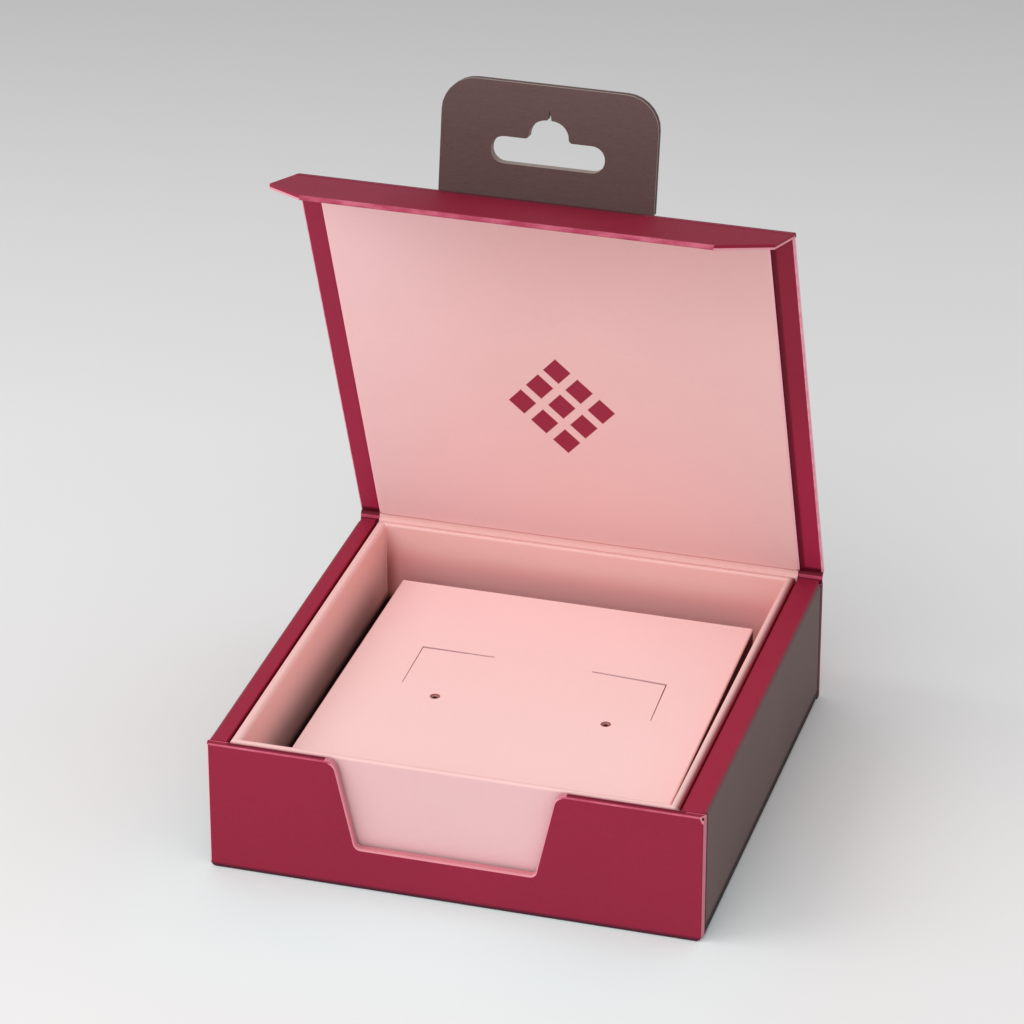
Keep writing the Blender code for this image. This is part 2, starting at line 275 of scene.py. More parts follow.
def wallInk(finish, spot, facts):  # painted shade at the table and on the top beside the tray, rubbed beside the ledges
    x, y, z = finish.sides(spot)
    top = z.rise(*facts["topEnds"])
    ends = abs(x).rise(*facts["ledgeEnds"])
    # painted shade: the wall is painted dark along the table
    wall = finish.mix(z.rise(*facts["footEnds"]), facts["footInk"], facts["ink"])
    # painted shadow: the top's back part beside the tray is painted dark
    wall = finish.mix(top * y.rise(*facts["trayEnds"]) * (1 - ends), wall, facts["trayInk"])
    return finish.mix(top * y.rise(*facts["rubbedEnds"]) * ends, wall, facts["rubbedInk"])


spinePaperFacts = dict(
    burgundyFacts, footInk=screenColour(76, 48, 48), endInk=screenColour(108, 36, 58),
    footEnds=(3.6, 4.4), cutEnds=(44.15, 44.4),
)


def spineInk(finish, spot, facts):  # the spine's cut ends are painted in shade, and darker still near the table
    x, y, z = finish.sides(spot)
    end = finish.mix(z.rise(*facts["footEnds"]), facts["footInk"], facts["endInk"])
    return finish.mix(abs(x).rise(*facts["cutEnds"]), facts["ink"], end)


notchFacts = dict(
    edgeFacts, ink=screenColour(228, 148, 160),
    shadeInk=screenColour(210, 132, 142), shadeEnds=(-43.7, -43.4),
)


def notchInk(finish, spot, facts):  # the cut edge is light in front and shaded towards the tray
    x, y, z = finish.sides(spot)
    return finish.mix(y.rise(*facts["shadeEnds"]), facts["ink"], facts["shadeInk"])


trayPaperFacts = dict(
    pinkFacts, ink=screenColour(244, 192, 188), lowInk=screenColour(243, 174, 172), lowEnds=(17, 21.5),
    cornerInk=screenColour(186, 108, 102), cornerX=(-38.7, -36.0), cornerY=(41.4, 41.7), cornerZ=(14, 25),
    leftInk=screenColour(255, 204, 198), leftEnds=(-38.9, -38.8),
    deepInk=screenColour(40, 12, 12), deepEnds=(8.4, 11.0),
    floorInk=screenColour(206, 146, 142), floorEnds=(3.9, 4.5),
    frontInk=screenColour(237, 191, 193), frontEnds=(-41.2, -40.4),
    rimInk=screenColour(246, 203, 200), rimEnds=(24.0, 24.5),
    rollInk=screenColour(124, 62, 68), rollEnds=(38.3, 39.5),
    gapInk=screenColour(190, 56, 78), middleX=-0.6, gapX=(39.85, 40.0), gapY=(-41.5, -41.3),
)


def trayInk(finish, spot, facts):  # painted highlight along the rim; painted shade low down, almost black beside the card, in the back-left corner, on the right rim's outer roll and in the gap beside the ledges; painted light on the left wall
    x, y, z = finish.sides(spot)
    rim = z.rise(*facts["rimEnds"])
    left, behind, high = [side.rise(*facts["corner" + axis]) for side, axis in zip((x, y, z), "XYZ")]
    gap = abs(x - facts["middleX"]).rise(*facts["gapX"]) * y.rise(*facts["gapY"])
    # painted shade: the walls darker towards the bottom
    wall = finish.mix(z.rise(*facts["lowEnds"]), facts["lowInk"], facts["ink"])
    # painted shade in the back-left corner
    wall = finish.mix((1 - left) * behind * (1 - high), wall, facts["cornerInk"])
    # painted light: the left wall is painted lighter than the rest
    wall = finish.mix(x.rise(*facts["leftEnds"]), facts["leftInk"], wall)
    # painted shade: the walls almost black low beside the card
    wall = finish.mix(z.rise(*facts["deepEnds"]), facts["deepInk"], wall)
    # painted shade: the floor painted a darker pink
    wall = finish.mix(z.rise(*facts["floorEnds"]), facts["floorInk"], wall)
    wall = finish.mix(y.rise(*facts["frontEnds"]), facts["frontInk"], wall)
    # painted highlight: the rim painted lighter
    wall = finish.mix(rim, wall, facts["rimInk"])
    # painted shade on the right rim's outer roll
    wall = finish.mix(x.rise(*facts["rollEnds"]) * rim, wall, facts["rollInk"])
    # painted shade: the tray's outside in the gap beside the ledges painted dark crimson
    return finish.mix(gap, wall, facts["gapInk"])


cardPaperFacts = dict(
    pinkFacts, ink=screenColour(254, 219, 217), underInk=screenColour(62, 22, 20), underEnds=(16.1, 16.5),
    broadTone=0.05, mottleTone=0.03,
)


def cardInk(finish, spot, facts):  # the card's folded sides stand in its own shade
    x, y, z = finish.sides(spot)
    return finish.mix(z.rise(*facts["underEnds"]), facts["underInk"], facts["ink"])


creaseFacts = dict(
    burgundyFacts, ink=screenColour(112, 22, 42), rough=0.6,
    beadInk=screenColour(198, 80, 108), beadFoot=(24.5, 24.7), beadTop=(25.15, 25.35),
)


def beadInk(finish, spot, facts):  # painted shade darkens the grooves either side of the crease; its bead is a light strip, rubbed and painted as a highlight
    x, y, z = finish.sides(spot)
    bead = z.rise(*facts["beadFoot"]) * (1 - z.rise(*facts["beadTop"]))
    return finish.mix(bead, facts["ink"], facts["beadInk"])


lidPaperFacts = dict(
    burgundyFacts, ink=screenColour(158, 40, 70),
    rightInk=screenColour(144, 36, 60), rightEnds=(-10, 10),
    hingeInk=screenColour(167, 40, 74), hingeEnds=(-62, -12),
    lowInk=screenColour(92, 10, 30), lowEnds=(-1.8, -0.9),
    shadeLeft=(39.9, 40.2), shadeRight=(40.9, 41.4), shadeShare=0.75,
)


def lidInk(finish, spot, facts):  # painted shade low at the hinge, on the right band and beside the liner's right edge; painted light on the band towards the hinge
    x, y, z = finish.sides(spot)
    # painted shade: the right band is painted darker
    band = finish.mix(x.rise(*facts["rightEnds"]), facts["ink"], facts["rightInk"])
    # painted light: the band is painted lighter towards the hinge
    band = finish.mix(y.rise(*facts["hingeEnds"]), band, facts["hingeInk"])
    shade = x.rise(*facts["shadeLeft"]) * (1 - x.rise(*facts["shadeRight"])) * facts["shadeShare"]
    # painted shade: the band dark at the hinge and beside the liner's right edge
    return finish.mix(y.rise(*facts["lowEnds"]).larger(shade), band, facts["lowInk"])


flapPaperFacts = dict(
    burgundyFacts, ink=screenColour(152, 46, 70), gloss=0.06,
    rightInk=screenColour(146, 34, 58), rightEnds=(-30, -14),
)


def flapInk(finish, spot, facts):  # deeper in colour from the tab on
    x, y, z = finish.sides(spot)
    return finish.mix(x.rise(*facts["rightEnds"]), facts["ink"], facts["rightInk"])


flapFoldFacts = dict(
    burgundyFacts, ink=screenColour(142, 48, 70), tabInk=screenColour(112, 40, 56), tabEnds=(17.5, 19.6),
)


def foldInk(finish, spot, facts):  # painted shade: the flap's fold is darker where the tab stands on it
    x, y, z = finish.sides(spot)
    return finish.mix(abs(x).rise(*facts["tabEnds"]), facts["tabInk"], facts["ink"])


linerPaperFacts = dict(
    pinkFacts, ink=screenColour(239, 191, 190),
    hingeInk=screenColour(246, 202, 200), hingeEnds=(-86, -52),
    leftInk=screenColour(251, 207, 208), leftEnds=(-40, 0),
    printInk=screenColour(158, 38, 66), printX=-1.4, printY=-37.8, printPitch=5.2, printSquash=0.79,
    printHalf=1.5, printFill=0.35, printEdge=0.012, diagonal=0.7071,
)


def linerInk(finish, spot, facts):  # a small diaper of lozenges printed in the liner's middle
    x, y, z = finish.sides(spot)
    pitch, half, fill, edge = [facts["print" + word] for word in ("Pitch", "Half", "Fill", "Edge")]
    across = (x - facts["printX"]) * (facts["diagonal"] / pitch)
    along = (y - facts["printY"]) * (facts["diagonal"] / pitch * facts["printSquash"])
    first = across + along
    second = across - along
    inside = 1 - abs(first).larger(abs(second)).rise(half - edge, half + edge)
    cell = abs((first + 0.5).fraction() - 0.5).larger(abs((second + 0.5).fraction() - 0.5))
    lozenge = 1 - cell.rise(fill - edge, fill + edge)
    # painted shade: the liner's top, under the flap, is painted darker than towards the hinge
    pink = finish.mix(y.rise(*facts["hingeEnds"]), facts["ink"], facts["hingeInk"])
    # painted light: the liner painted lighter towards its left side
    pink = finish.mix(x.rise(*facts["leftEnds"]), facts["leftInk"], pink)
    return finish.mix(inside * lozenge, pink, facts["printInk"])


linerEdgeFacts = dict(
    pinkFacts, ink=screenColour(255, 196, 202), footInk=screenColour(196, 110, 112), footEnds=(-1.1, -0.85),
)


def linerEdgeInk(finish, spot, facts):  # its cut edge is light, and in shade at the hinge
    x, y, z = finish.sides(spot)
    return finish.mix(y.rise(*facts["footEnds"]), facts["ink"], facts["footInk"])


burgundy = paper("burgundyPaper", burgundyFacts)
burgundyWall = paper("burgundyPaperWall", wallFacts, basePlace, wallInk)
burgundySpine = paper("burgundyPaperSpine", spinePaperFacts, basePlace, spineInk)
burgundyLid = paper("burgundyPaperLid", lidPaperFacts, lidPlace, lidInk)
burgundyFlap = paper("burgundyPaperFlap", flapPaperFacts, flapPlace, flapInk)
wrap = paper("wrapPaper", wrapFacts, basePlace, wrapInk)
worn = paper("wornFold", wornFacts, basePlace, wornInk)
wornLid = paper("wornFoldLid", lidEdgeFacts, lidPlace, wornInk)
foldedEdge = paper("foldedEdge", flapFreeFacts, flapPlace, wornInk)
flapFold = paper("flapFold", flapFoldFacts, flapPlace, foldInk)
crease = paper("creasePaper", creaseFacts, basePlace, beadInk)
brownCover = paper("brownPaperCover", brownFacts, lidPlace)
brownTab = paper("brownPaperTab", dict(brownFacts, ink=screenColour(99, 77, 76)), tabPlace)
pink = paper("pinkPaper", pinkFacts)
pinkTray = paper("pinkPaperTray", trayPaperFacts, basePlace, trayInk)
linerPaper = paper("linerPaper", linerPaperFacts, lidPlace, linerInk)
linerEdge = paper("linerEdge", linerEdgeFacts, lidPlace, linerEdgeInk)
cardPaper = paper("cardPaper", cardPaperFacts, basePlace, cardInk)
pressed = paper("pressedCard", dict(rawFacts, ink=screenColour(160, 102, 94)))
raw = paper("rawEdge", rawFacts)
rawEnd = paper("rawEnd", edgeFacts)
notchEdge = paper("notchEdge", notchFacts, basePlace, notchInk)
rawFlap = paper("rawEdgeFlap", dict(edgeFacts, ink=screenColour(230, 156, 168)), flapPlace)
rawBrown = paper("rawBrownEdge", dict(rawFacts, ink=screenColour(158, 144, 138)))
# painted shade: the dark finish inside the front wall's roll
hollow = paper("hollowFold", dict(rawFacts, ink=screenColour(116, 76, 78)))
print("finishes laid")


nearBy = 0.01  # places closer than this count as one
sameEnd = 0.001  # the same for an edge's ends
areaShare = 0.0001  # of two faces as far out, the larger counts
facingShare = 0.5  # a face faces the way that its normal has more than this along
cornerSteps = 7  # facets round a corner of a cut sheet
foldAngle = 35  # degrees; edges that turn by more are softened


def near(first, second):
    return abs(first - second) < nearBy


def movedVerts(made):
    return [part for part in made["geom"] if isinstance(part, bmesh.types.BMVert)]


def everything(bm):
    return bm.verts[:] + bm.edges[:] + bm.faces[:]


def roundEdges(bm, edges, radius, steps, material=-1):
    done = bmesh.ops.bevel(bm, geom=edges, offset=radius, segments=steps, profile=0.5,
                           affect="EDGES", material=material)
    return done["faces"]


def plate(outline, low, high):  # outline points are x, y and how far their rounding reaches
    bm = bmesh.new()
    bm.faces.new([bm.verts.new((x, y, low)) for x, y, reach in outline])
    for x, y, reach in outline:
        corner = [v for v in bm.verts if near(v.co.x, x) and near(v.co.y, y)]
        if reach:
            bmesh.ops.bevel(bm, geom=corner, offset=reach, segments=cornerSteps, profile=0.5,
                            affect="VERTICES", material=-1)
    lifted = bmesh.ops.extrude_face_region(bm, geom=bm.faces[:])
    bmesh.ops.translate(bm, verts=movedVerts(lifted), vec=(0, 0, high - low))
    bmesh.ops.recalc_face_normals(bm, faces=bm.faces[:])
    return bm


def pulledSheet(points, pull, folds, facing):  # a few points joined and pulled along, its folds rounded
    bm = bmesh.new()
    points = [Vector(point) for point in points]
    corners = [bm.verts.new(point) for point in points]
    line = [bm.edges.new(pair) for pair in zip(corners, corners[1:])]
    pulled = bmesh.ops.extrude_edge_only(bm, edges=line)
    bmesh.ops.translate(bm, verts=movedVerts(pulled), vec=pull)
    for index, (radius, steps) in folds.items():
        ends = (points[index], points[index] + Vector(pull))
        fold = [e for e in bm.edges
                if all(min((v.co - end).length for end in ends) < sameEnd for v in e.verts)]
        roundEdges(bm, fold, radius, steps)
    facing = Vector(facing)
    furthest = max(bm.faces, key=lambda face: (
        face.calc_center_median().dot(facing) + face.calc_area() * areaShare))
    bm.normal_update()
    if furthest.normal.dot(facing) < 0:
        bmesh.ops.reverse_faces(bm, faces=bm.faces[:])
    return bm


def block(bm, low, high):  # a board's body between two corners
    made = bmesh.ops.create_cube(bm, size=1.0)
    low, high = Vector(low), Vector(high)
    bmesh.ops.scale(bm, verts=made["verts"], vec=high - low)
    bmesh.ops.translate(bm, verts=made["verts"], vec=(low + high) / 2)


def settle(piece):  # the modifiers' result becomes the mesh
    graph = bpy.context.evaluated_depsgraph_get()
    done = bpy.data.meshes.new_from_object(piece.evaluated_get(graph), depsgraph=graph)
    piece.modifiers.clear()
    piece.data = done


def linked(name, data):
    item = bpy.data.objects.new(name, data)
    bpy.context.scene.collection.objects.link(item)
    return item


def pieceFrom(bm, name, place):  # its mesh, drawn in millimetres, put where it belongs
    bm.transform(place @ Matrix.Scale(mm, 4))
    mesh = bpy.data.meshes.new(name)
    bm.to_mesh(mesh)
    bm.free()
    return linked(name, mesh)


def newPiece(bm, name, finishes, place=basePlace, ply=0.0, plySide=-1.0, cutters=(), edge=0.0, edgeSteps=2,
             smoothTo=40):
    piece = pieceFrom(bm, name, place)
    for finish in finishes:
        piece.data.materials.append(finish)
    if ply:
        solid = piece.modifiers.new("ply", "SOLIDIFY")
        solid.thickness = ply * mm
        solid.offset = plySide
        solid.use_even_offset = True
        solid.material_offset_rim = 1
    for number, cutter in enumerate(cutters):
        cut = piece.modifiers.new("cut" + str(number), "BOOLEAN")
        cut.operation = "DIFFERENCE"
        cut.solver = "EXACT"
        cut.object = cutter
    if edge:
        soften = piece.modifiers.new("edge", "BEVEL")
        soften.width = edge * mm
        soften.segments = edgeSteps
        soften.limit_method = "ANGLE"
        soften.angle_limit = math.radians(foldAngle)
        soften.use_clamp_overlap = True
    settle(piece)
    for cutter in cutters:
        bpy.data.objects.remove(cutter)
    piece.data.shade_smooth()
    piece.data.set_sharp_from_angle(angle=math.radians(smoothTo))
    even = piece.modifiers.new("even", "WEIGHTED_NORMAL")
    even.keep_sharp = True
    settle(piece)
    return piece


def cutterFrom(bm, place, finish):  # finish is which of the piece's finishes the cut faces take
    for face in bm.faces:
        face.material_index = finish
    return pieceFrom(bm, "cutter", place)


def settleOn(piece, body, slot, *nodes):
    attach(piece, body)
    if nodes:
        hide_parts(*nodes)


def settleAcross(piece, bodies, bend, slot, *nodes):
    start, end = [tuple(point * mm) for point in bend]
    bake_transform(piece)
    if nodes:
        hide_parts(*nodes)


# A glued strip of paper running from one body to another, drawn through the given points.
def makeStrip(name, finishes, facts, points, bend, bodies, slot, *nodes):
    left, right = facts["ends"]
    spots = [(left, point.y, point.z) for point in points]
    bm = pulledSheet(spots, (right - left, 0, 0), facts["folds"], facts["facing"])
    strip = newPiece(bm, name, finishes, ply=facts["ply"], plySide=facts.get("plySide", -1.0))
    settleAcross(strip, bodies, bend, slot, *nodes)


def makeFreeStrip(name, finish, facts, place, body):
    points = [pointOn(lidPlace, *spot) for spot in facts["lid"]]
    points += [pointOn(place, *spot) for spot in facts["free"]]
    makeStrip(name, [finish, finish], facts, points, points[1:3], ("lid", body), "brown_board")


# Front wall: a folded panel with the thumb notch; its roll shows as a ring at the right end's cut corner
frontWallFacts = {
    "half": 44.5, "front": 44.0, "back": 42.5, "top": 24.7, "foot": 1.0,
    "notchX": -1.4, "notchTop": 19.8, "notchBottom": 16.1, "notchHeight": 7.9, "mouth": 1.77, "heel": 0.88,
    "fold": 0.24, "foldSteps": 3, "slant": 0.25, "slantReach": 1.02,
    "endReach": 1.0, "notchReach": 2.0, "footReach": 1.0, "topReach": 0.4,
    "facetWide": 0.95, "facetTall": 1.5, "roll": 0.27, "rollDeep": 0.7, "rollSteps": 20,
}


def notchedOutline(facts):
    x, low, half, top = facts["notchX"], facts["notchHeight"], facts["half"], facts["top"]
    return [
        (-half, 0, facts["foot"]), (half, 0, facts["foot"]), (half, top, 0),
        (x + facts["notchTop"], top, facts["mouth"]), (x + facts["notchBottom"], low, facts["heel"]),
        (x - facts["notchBottom"], low, facts["heel"]), (x - facts["notchTop"], top, facts["mouth"]),
        (-half, top, 0),
    ]


def makeFrontWall(facts):
    half, top, front, back = facts["half"], facts["top"], facts["front"], facts["back"]
    finishes = [burgundyWall, notchEdge, worn, rawEnd, raw, hollow]
    bm = plate(notchedOutline(facts), back, front)
    for face in bm.faces:
        side = face.calc_center_median()
        if abs(face.normal.z) < facingShare and not near(side.y, top) and side.y > nearBy:
            atEnd = abs(side.x) > half - facts["endReach"]
            face.material_index = finishes.index(rawEnd if atEnd else notchEdge)
    for vert in bm.verts:
        if near(vert.co.z, front) and abs(vert.co.x) > half - facts["slantReach"]:
            vert.co.x -= math.copysign(facts["slant"], vert.co.x)
    rims = [e for e in bm.edges if near(e.verts[0].co.z, e.verts[1].co.z)
            and (near(e.verts[0].co.z, front) or all(near(v.co.y, top) for v in e.verts))]
    for face in roundEdges(bm, rims, facts["fold"], facts["foldSteps"], finishes.index(worn)):
        middle = face.calc_center_median()
        aboveFoot = middle.y > facts["footReach"]
        belowTop = middle.y < top - facts["topReach"]
        if abs(middle.x) < half - facts["notchReach"] and aboveFoot and belowTop:
            face.material_index = finishes.index(notchEdge)
        elif middle.x < facts["endReach"] - half:
            face.material_index = finishes.index(raw if aboveFoot else burgundyWall)
        elif belowTop:
            face.material_index = finishes.index(burgundyWall)
    flat = Vector((half - facts["facetWide"], top, front))
    deep = Vector((half, top, back))
    low = Vector((half - facts["slant"], top - facts["facetTall"], front))
    outward = (low - flat).cross(deep - flat).normalized()
    cut = bmesh.ops.bisect_plane(bm, geom=everything(bm), plane_co=flat, plane_no=outward, clear_outer=True)
    border = [part for part in cut["geom_cut"] if isinstance(part, bmesh.types.BMEdge)]
    for face in bmesh.ops.contextual_create(bm, geom=border)["faces"]:
        face.material_index = finishes.index(notchEdge)
    bmesh.ops.recalc_face_normals(bm, faces=bm.faces[:])
    # painted shade: the roll's bore is lined with a dark finish
    bore = bmesh.new()
    turn = outward.to_track_quat("Z", "Y").to_matrix().to_4x4()
    bmesh.ops.create_cone(bore, cap_ends=True, segments=facts["rollSteps"], radius1=facts["roll"],
                          radius2=facts["roll"], depth=facts["rollDeep"] * 2,
                          matrix=Matrix.Translation((flat + deep + low) / 3) @ turn)
    cutter = cutterFrom(bore, standing, finishes.index(hollow))
    wall = newPiece(bm, "frontWall", finishes, standing, cutters=[cutter])
    settleOn(wall, "base", "burgundy_board", "front_panel")


makeFrontWall(frontWallFacts)


# Spine: the board under the hinge, wrapped in paper with its turned-in edge showing as a step
spineFacts = {
    "half": 44.5, "front": 43.4, "back": 44.0, "top": 23.9, "hem": 0.45, "step": 0.1,
    "thick": 41.4, "deeper": 1.0, "edge": 0.175, "edgeSteps": 3,
}


def makeSpine(facts):
    half, back = facts["half"], facts["back"] - facts["step"]
    bm = bmesh.new()
    block(bm, (-half, facts["front"], 0), (half, back, facts["top"]))
    outward = [f for f in bm.faces if f.normal.y > facingShare]
    bmesh.ops.inset_region(bm, faces=outward, thickness=facts["hem"])
    lifted = bmesh.ops.extrude_face_region(bm, geom=outward)
    bmesh.ops.translate(bm, verts=movedVerts(lifted), vec=(0, facts["step"], 0))
    bmesh.ops.delete(bm, geom=outward, context="FACES")
    bmesh.ops.recalc_face_normals(bm, faces=bm.faces[:])
    for x in (-facts["thick"], facts["thick"]):  # thinner behind the tray than at its ends
        bmesh.ops.bisect_plane(bm, geom=everything(bm), plane_co=(x, 0, 0), plane_no=(1, 0, 0))
    inward = [f for f in bm.faces if f.normal.y < -facingShare]
    for end in [f for f in inward if abs(f.calc_center_median().x) > facts["thick"]]:
        lifted = bmesh.ops.extrude_discrete_faces(bm, faces=[end])["faces"]
        bmesh.ops.translate(bm, verts=lifted[0].verts[:], vec=(0, -facts["deeper"], 0))
    spine = newPiece(bm, "spine", [burgundySpine], edge=facts["edge"], edgeSteps=facts["edgeSteps"])
    settleOn(spine, "base", "burgundy_board", "back_panel")


makeSpine(spineFacts)


# Side walls: one sheet each, up the outside, over the ledge and down beside the tray
sideFacts = {
    "outside": 44.5, "foot": 43.1, "top": 24.7, "topReach": 0.05, "lower": 0.7, "footHeight": 1.5,
    "front": -42.38, "back": 41.9, "ledgeBack": 43.05, "ply": 0.75, "edge": 0.08,
    "outerFold": (0.85, 6), "innerFold": (0.4, 4), "footFold": (0.4, 3),
}


def makeSide(facts, name, sign, nodes):
    inside = min(abs(corner.x) for corner in span(nodes[1]))
    corners = [
        (facts["outside"], facts["lower"]), (facts["outside"], facts["top"]), (inside, facts["top"]),
        (inside, facts["footHeight"]), (facts["foot"], facts["footHeight"]),
    ]
    points = [(x, facts["front"], z) for x, z in corners]
    folds = {1: facts["outerFold"], 2: facts["innerFold"], 3: facts["footFold"]}
    bm = pulledSheet(points, (0, facts["back"] - facts["front"], 0), folds, (1, 0, 0))
    for vert in bm.verts:  # the ledge runs on over the spine
        if vert.co.y > 0 and vert.co.z > facts["top"] - facts["topReach"]:
            vert.co.y = facts["ledgeBack"]
    if sign < 0:
        bmesh.ops.scale(bm, vec=(-1, 1, 1), verts=bm.verts[:])
        bmesh.ops.reverse_faces(bm, faces=bm.faces[:])
    side = newPiece(bm, name, [wrap, wrap], ply=facts["ply"], edge=facts["edge"])
    settleOn(side, "base", "brown_board", *nodes)


makeSide(sideFacts, "sideWrapRight", 1, ("side_panel_right", "ledge_frame_right"))
makeSide(sideFacts, "sideWrapLeft", -1, ("side_panel_left", "ledge_frame_left"))
print("outer walls made")


# Tray: walls rolled over to a round rim, the back wall thinner and its rim tighter
trayFacts = {
    "wall": 1.75, "frontWall": 1.3, "backWall": 1.0, "backShift": 1.3, "floor": 0.8,
    "rim": 0.8, "backRim": 0.45, "outerRim": 0.45, "rimSteps": 5, "edge": 0.18,
}


def makeTray(facts):
    (left, front, low), (right, back, top) = span("inner_tray")
    back += facts["backShift"]
    backInside = back - facts["backWall"]
    bm = bmesh.new()
    block(bm, (left, front, low), (right, back, top))
    mouth = [f for f in bm.faces if f.normal.z > facingShare]
    bmesh.ops.inset_region(bm, faces=mouth, thickness=facts["wall"])
    for vert in mouth[0].verts:
        vert.co.x = left + facts["wall"] if vert.co.x < 0 else right - facts["wall"]
        vert.co.y = front + facts["frontWall"] if vert.co.y < 0 else backInside
    sunk = bmesh.ops.extrude_face_region(bm, geom=mouth)
    bmesh.ops.translate(bm, verts=movedVerts(sunk), vec=(0, 0, low + facts["floor"] - top))
    bmesh.ops.delete(bm, geom=mouth, context="FACES")
    bmesh.ops.recalc_face_normals(bm, faces=bm.faces[:])

    def outside(vert):
        x, y = vert.co.x, vert.co.y
        return near(x, left) or near(x, right) or near(y, front) or near(y, back)

    def rimEdges(belongs):  # the rim's edges of which both ends belong
        return [e for e in bm.edges if all(near(v.co.z, top) and belongs(v) for v in e.verts)]

    inner = [e for e in rimEdges(lambda vert: not outside(vert)) if min(v.co.y for v in e.verts) < 0]
    roundEdges(bm, inner, facts["rim"], facts["rimSteps"])
    roundEdges(bm, rimEdges(lambda vert: near(vert.co.y, backInside)), facts["backRim"], facts["rimSteps"])
    roundEdges(bm, rimEdges(outside), facts["outerRim"], facts["rimSteps"])
    tray = newPiece(bm, "tray", [pinkTray], edge=facts["edge"])
    settleOn(tray, "base", "pink_rolled_board", "inner_tray")


makeTray(trayFacts)


# Earring card: a sheet folded down at both sides, with pierced holes and angled slits. A slit runs from its
# low end to its corner and on to its inner end; slitHalf and slitEnd are half its width at corner and ends.
earringCardFacts = {
    "ply": 0.3, "fold": (0.34, 4), "frontEnds": (-34.3, 34.85), "backEnds": (-33.9, 33.45),
    "holes": [(-15.3, -4.1), (16.65, -5.1)], "hole": 0.52, "dent": 0.95, "dentDepth": 0.2, "dentFoot": 0.312,
    "holeSteps": 32, "through": 2, "slitHalf": (0.1, 0.27), "slitEnd": (0.07, 0.19),
    "slits": [
        ((-22.45, -0.85), (-22.65, 12.5), (-9.1, 12.45)),
        ((23.95, -1.65), (23.4, 11.4), (9.35, 12.35)),
    ],
}


def slitOutline(facts, side, low, corner, inner):
    (wideX, wideY), (fineX, fineY) = facts["slitHalf"], facts["slitEnd"]
    return [
        (corner[0] + side * wideX, corner[1] + wideY, 0), (inner[0], inner[1] + fineY, 0),
        (inner[0], inner[1] - fineY, 0), (corner[0] - side * wideX, corner[1] - wideY, 0),
        (low[0] - side * fineX, low[1], 0), (low[0] + side * fineX, low[1], 0),
    ]


def makeCard(facts):
    (left, front, foot), (right, back, top) = span("earring_card")
    finishes = [cardPaper, raw, pressed]
    points = [(right, front, foot), (right, front, top), (left, front, top), (left, front, foot)]
    bm = pulledSheet(points, (0, back - front, 0), {1: facts["fold"], 2: facts["fold"]}, (0, 0, 1))
    for vert in bm.verts:  # the card is a little wider in front and lies a little askew
        ends = facts["frontEnds"] if vert.co.y < 0 else facts["backEnds"]
        vert.co.x += ends[0] - left if vert.co.x < 0 else ends[1] - right
    cutters = []
    for (holeX, holeY), slit in zip(facts["holes"], facts["slits"]):
        spot = Matrix.Translation((holeX, holeY, top))
        cones = (
            (facts["dentFoot"], 2 * facts["dent"] - facts["dentFoot"], facts["dentDepth"], pressed),
            (facts["hole"], facts["hole"], facts["through"], raw),
        )
        for lowRadius, highRadius, reach, finish in cones:
            drill = bmesh.new()
            bmesh.ops.create_cone(drill, cap_ends=True, segments=facts["holeSteps"], radius1=lowRadius,
                                  radius2=highRadius, depth=2 * reach, matrix=spot)
            cutters.append(cutterFrom(drill, basePlace, finishes.index(finish)))
        outline = slitOutline(facts, math.copysign(1, holeX), *slit)
        slot = plate(outline, top - facts["through"], top + facts["through"])
        cutters.append(cutterFrom(slot, basePlace, finishes.index(raw)))
    card = newPiece(bm, "earringCard", finishes, ply=facts["ply"], cutters=cutters)
    settleOn(card, "base", "pale_pink_card", "earring_card")


makeCard(earringCardFacts)
print("tray and card made")


# Hinge papers: sheets glued to the base and to the lid. Points are y and z, the lid's as it lies flat.
hingeFacts = {
    "hingePaper": {
        "ends": (span("hinge_liner")[0].x, 39.85), "ply": 0.16, "facing": (0, -1, 0),
        "folds": {1: (0.15, 3), 2: (0.2, 4), 3: (0.3, 3)}, "bend": [(43.3, 24.8), (43.6, 26.1)],
        "base": [(43.0, 12.7), (43.0, 24.62), (43.45, 25.0)], "lid": [(-0.85, -0.1), (-2.6, -0.1)],
    },
    "creasePaper": {
        "ends": (-44.45, 44.45), "ply": 0.2, "facing": (0, -1, 0),
        "folds": {1: (0.2, 3), 2: (0.25, 4), 3: (0.2, 3)}, "bend": [(43.6, 25.2), (44.1, 25.9)],
        "base": [(42.9, 23.95), (43.5, 24.0), (43.6, 25.45)], "lid": [(-0.2, 0.35), (-0.3, 0.9)],
    },
    "outerHinge": {
        "ends": (-44.35, 44.35), "ply": 0.16, "facing": (0, 1, 0),
        "folds": {1: (0.6, 4), 2: (0.5, 4), 3: (0.5, 4)}, "bend": [(44.2, 24.4), (45.0, 26.4)],
        "base": [(44.16, 17.5), (44.16, 24.3), (44.9, 25.7)], "lid": [(-0.5, 1.33), (-3.0, 1.33)],
    },
}


def makeHingePaper(name, finishes, slot, *nodes):
    facts = hingeFacts[name]
    points = [Vector((0, y, z)) for y, z in facts["base"]]
    points += [pointOn(lidPlace, *spot) for spot in facts["lid"]]
    bend = [Vector((0, y, z)) for y, z in facts["bend"]]
    makeStrip(name, finishes, facts, points, bend, ("base", "lid"), slot, *nodes)


makeHingePaper("hingePaper", [pink, raw], "pink_paper", "hinge_liner")
makeHingePaper("creasePaper", [crease, raw], "burgundy_board", "hinge_crease")
makeHingePaper("outerHinge", [burgundy, rawEnd], "burgundy_board")


